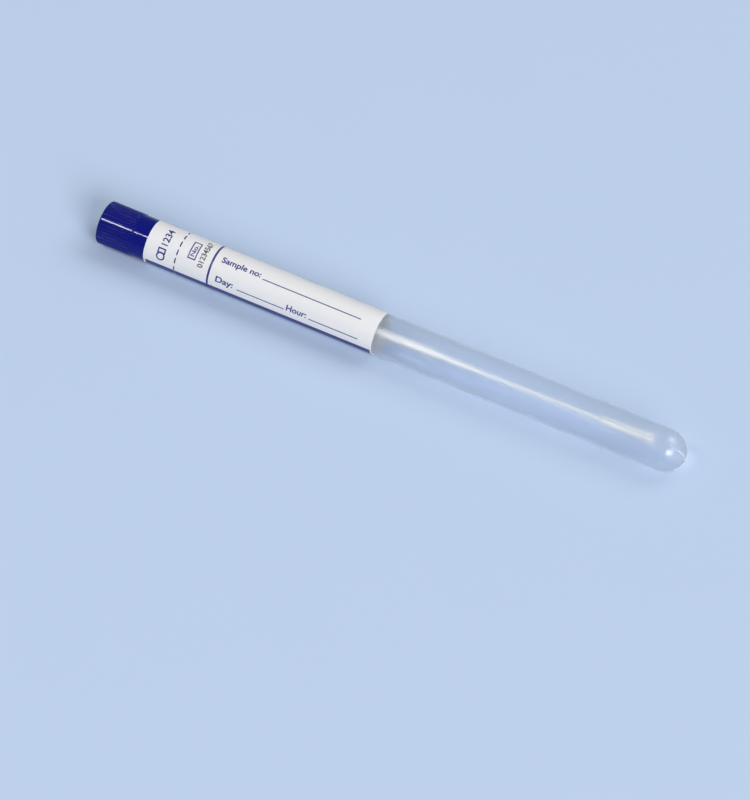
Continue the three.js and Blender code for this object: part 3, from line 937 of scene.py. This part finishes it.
seal_marks = [
    ring_mark(20.1, 29.5, 1.3, 0.42),
    *frame_of(18.9, 21.3, 6.5, 22, 0.4),
    words("1234", 21.2, -1.5, 5.2, 2.0, across=True),
    # Navy band: a printed line at its top, painted shade on the label's underside below it.
    patch(15.65, TEAR_LINE / MM - PRINT_AND_SHADE_CLEAR, *PRINT_AND_PAINTED_SHADE, cut=1),
    patch(17.9, 20.9, -90, -83),
]
sheet_marks = [
    patch(34.5, 35.1, 57.2, 416.5),
    *frame_of(27.6, 30.05, -44.5, 5.5, 0.33),
    words("No.", 29.35, -2.5, 3.5, 1.25, across=True),
    words("Sample no:", 37.1, -17.6, 12.0, 1.75),
    patch(49.95, 80.35, -17.6, -15.0),
    words("Day:", 37.2, 37.0, 5.4, 1.75),
    patch(43.9, 58.5, 35.2, 37.8),
    words("Hour:", 59.1, 37.0, 6.2, 1.75),
    patch(66.1, 81.25, 35.2, 37.8),
    # Navy band: a printed line at its top, painted shade on the label's underside below it.
    patch(TEAR_LINE / MM + PRINT_AND_SHADE_CLEAR, LABEL_END / MM - PRINT_AND_SHADE_MARGIN, *PRINT_AND_PAINTED_SHADE),
    *frame_of(36.7, 41.6, -119, -83, 0.4),
    patch(43.4, 56.4, -118, -116.2),
    *frame_of(58.7, 63.6, -119, -83, 0.4),
    patch(65.4, 80.4, -118, -116.2),
]
make_piece("seal_print", seal_marks, navy_ink, "cap")
make_piece("sheet_print", sheet_marks, navy_ink, "tube")
number = words("01234567", 32.6, 18.0, 8.6, 1.6, across=True)
make_piece("inkjet_number", [number], jet_ink, "tube")

# %% [markdown]
# ## The swab
#
# The stick is one moulding that steps down from a grip to a thin flexible shaft, with a notch where it is
# snapped off after use, and it has taken a slight bow. It is a profile turned round the axis whose every
# ring is then moved sideways by the bow, a square law from the sleeve to the tip.

# %% The stick
STICK_START, STICK_END = 15.4 * MM, 168.7 * MM
HANDLE, GRIP, NECK, SHAFT, CORE, CORE_BALL = (r * MM for r in (1.22, 1.19, 0.74, 0.5, 0.58, 1.03))
NOTCH, NOTCH_HALF, NOTCH_DEPTH = 87.2 * MM, 0.45 * MM, 0.34 * MM
CONE_START, CONE_END, NECK_END, TAPER_END = (u * MM for u in (101.1, 103.8, 112.7, 115.0))
FLOCK_START, FLOCK_RADIUS, FLOCK_BALL, FLOCK_SHOULDER = 152.2 * MM, 1.24 * MM, 1.69 * MM, 0.75 * MM
HANDLE_ROUND, BOW, STICK_SIDES = 0.45 * MM, 1.85 * MM, 48
NOTCH_ROOM = 1.2 * NOTCH_HALF
BALL_CENTRE = STICK_END - FLOCK_BALL


def bowed(points):
    """Moves points sideways, towards +Y, by the bow times the square of their share of the stick."""
    share = (points[..., 0] - CAP_END - STICK_START) / (STICK_END - STICK_START)
    moved = points.copy()
    moved[..., 1] += BOW * share**2
    return moved


def v_notch():
    """The snap notch: the radius dips by half a cosine wave over its width."""
    share = np.linspace(-1, 1, 13)
    dip = NOTCH_DEPTH * (0.5 + 0.5 * np.cos(math.pi * share))
    return np.stack([NOTCH + NOTCH_HALF * share, (HANDLE + GRIP) / 2 - dip], axis=1)


ball_start = 180 - math.degrees(math.asin(CORE / CORE_BALL))
stick = np.concatenate([
    [(STICK_START, 0)],
    arc(STICK_START + HANDLE_ROUND, HANDLE - HANDLE_ROUND, HANDLE_ROUND, 180, 90, 6),
    line((STICK_START + 2 * HANDLE_ROUND, HANDLE), (NOTCH - NOTCH_ROOM, HANDLE), 30),
    v_notch(),
    line((NOTCH + NOTCH_ROOM, GRIP), (CONE_START, GRIP), 8),
    line((CONE_START, GRIP), (CONE_END, NECK), 4),
    line((CONE_END, NECK), (NECK_END, NECK), 5),
    line((NECK_END, NECK), (TAPER_END, SHAFT), 3),
    line((TAPER_END, SHAFT), (FLOCK_START, SHAFT), 24),
    line((FLOCK_START, SHAFT), (FLOCK_START + FLOCK_SHOULDER, CORE), 2),
    line((FLOCK_START + FLOCK_SHOULDER, CORE), (BALL_CENTRE - 2 * CORE_BALL, CORE), 6),
    arc(BALL_CENTRE, 0, CORE_BALL, ball_start, 0, 12),
])
stick_skin = turned_skin(bowed(turned(stick, round_angles(STICK_SIDES))))


# %% The stick's finish
def swab_moulding():
    """Off-white polystyrene, satin, with a faint flow along the stick."""
    material, tree = new_finish("swab_moulding")
    flow = grain(tree, 0.3 * MM, detail=2.0, stretch=12)
    show(tree, plastic(tree, {
        "Base Color": dappled(tree, flow, (0.74, 0.73, 0.68), (0.81, 0.80, 0.755)),
        "Roughness": 0.32 + 0.12 * flow,
        "Normal": relief(tree, flow, 0.004 * MM),
    }))
    return material


make_piece("swab_stick", [stick_skin], swab_moulding(), "cap", ["swab_shaft"])

# %% [markdown]
# ## The flocking
#
# The tip is flocked: short nylon fibres are shot at glue and stand on end, like velvet. A noisy texture
# would only hint at that, and the tip shows its pile against the light once the swab is out. So there is
# a base coat, and on it 15,000 tiny three-sided rods, spread evenly over its area. Each is
# only eight triangles, because there are so many.

# %% The coat's profile
PILE, COAT_WAIST, COAT_TAPER, COAT_SIDES = 0.2 * MM, 1.12 * MM, 0.7 * MM, 64
coat_full = FLOCK_START + 1.3 * FLOCK_SHOULDER
waist_angle = 180 - math.degrees(math.asin(COAT_WAIST / FLOCK_BALL))
waist_along = BALL_CENTRE + FLOCK_BALL * math.cos(math.radians(waist_angle))
coat = np.concatenate([
    arc(FLOCK_START + FLOCK_SHOULDER, FLOCK_RADIUS - FLOCK_SHOULDER, FLOCK_SHOULDER, 180, 90, 10),
    line((coat_full, FLOCK_RADIUS), (waist_along - COAT_TAPER, FLOCK_RADIUS), 24),
    line((waist_along - COAT_TAPER, FLOCK_RADIUS), (waist_along, COAT_WAIST), 3),
    arc(BALL_CENTRE, 0, FLOCK_BALL, waist_angle, 0, 30),
])
base_coat = coat - PILE * facing(coat)
base_coat[-1] = (base_coat[-1, 0], 0)
base_coat[:, 1] = np.maximum(base_coat[:, 1], 0)
base_coat = np.concatenate([[(base_coat[0, 0], 0)], base_coat])
coat_skin = turned_skin(bowed(turned(base_coat, round_angles(COAT_SIDES))))

# %% The fibres
FIBRES, FIBRE_WIDTH, FIBRE_LENGTH, FIBRE_LEAN = 15000, 0.022 * MM, 0.34 * MM, 0.28
FIBRE_TAPER, FIBRE_UNEVEN = 0.75, 0.12 * MM


def spread_over(profile, count, draw):
    """Places spread evenly over a turned surface: along the profile by the area that each step sweeps, and
    round it by the golden angle, so that no two rows line up."""
    step = np.linalg.norm(np.diff(profile, axis=0), axis=1)
    swept = np.r_[0, np.cumsum(step * (profile[1:, 1] + profile[:-1, 1]) / 2)]
    share = (np.arange(count) + draw.random(count)) / count * swept[-1]
    found = np.array([np.interp(share, swept, column) for column in (*profile.T, *facing(profile).T)])
    return found, math.pi * (3 - math.sqrt(5)) * np.arange(count)


def fibre_rods(count, seed):
    """Closed rods of three sides. Each starts inside the coat and ends just at the pile's surface, and
    leans from the surface's own outward direction by a random amount to each side."""
    draw = np.random.default_rng(seed)
    (along, radius, out_along, out_radius), angle = spread_over(coat, count, draw)
    tip = place(along, radius, angle)
    out = np.stack([out_along, out_radius * np.cos(angle), out_radius * np.sin(angle)], axis=1)
    lean = out + FIBRE_LEAN * draw.normal(size=(count, 3))
    lean /= np.linalg.norm(lean, axis=1, keepdims=True)
    side = np.cross(lean, draw.normal(size=(count, 3)))
    side /= np.linalg.norm(side, axis=1, keepdims=True)
    other = np.cross(lean, side)
    tip -= out * (FIBRE_UNEVEN * draw.random(count) ** 2)[:, None]
    foot = tip - lean * FIBRE_LENGTH
    corners = []
    for end, width in ((foot, FIBRE_WIDTH), (tip, FIBRE_TAPER * FIBRE_WIDTH)):
        for turn in (0, 1, 2):
            spin = turn * FULL_TURN / 3
            corners.append(end + width / 2 * (math.cos(spin) * side + math.sin(spin) * other))
    points = bowed(np.stack(corners, axis=1))
    rod = np.array([(0, 2, 1), (3, 4, 5), (0, 1, 4), (0, 4, 3), (1, 2, 5), (1, 5, 4), (2, 0, 3), (2, 3, 5)])
    triangles = rod[None, :, :] + 6 * np.arange(count)[:, None, None]
    return points.reshape(-1, 3), triangles.reshape(-1, 3)


# %% The flocking's finish
def nylon_pile():
    """White nylon: matt, with a soft sheen at its edge and a faint difference from tuft to tuft."""
    material, tree = new_finish("nylon_pile")
    tufts = grain(tree, 0.15 * MM, detail=2.0)
    show(tree, plastic(tree, {
        "Base Color": dappled(tree, tufts, (0.76, 0.75, 0.725), (0.88, 0.87, 0.85)),
        "Roughness": 0.75 + 0.15 * tufts,
        "Normal": relief(tree, tufts, 0.02 * MM),
        "Sheen Weight": 0.3,
        "Sheen Roughness": 0.4,
    }))
    return material


pile = nylon_pile()
make_piece("flock_coat", [coat_skin], pile, "cap", ["flock_tip"])
make_piece("flock_fibres", [fibre_rods(FIBRES, seed=7)], pile, "cap")
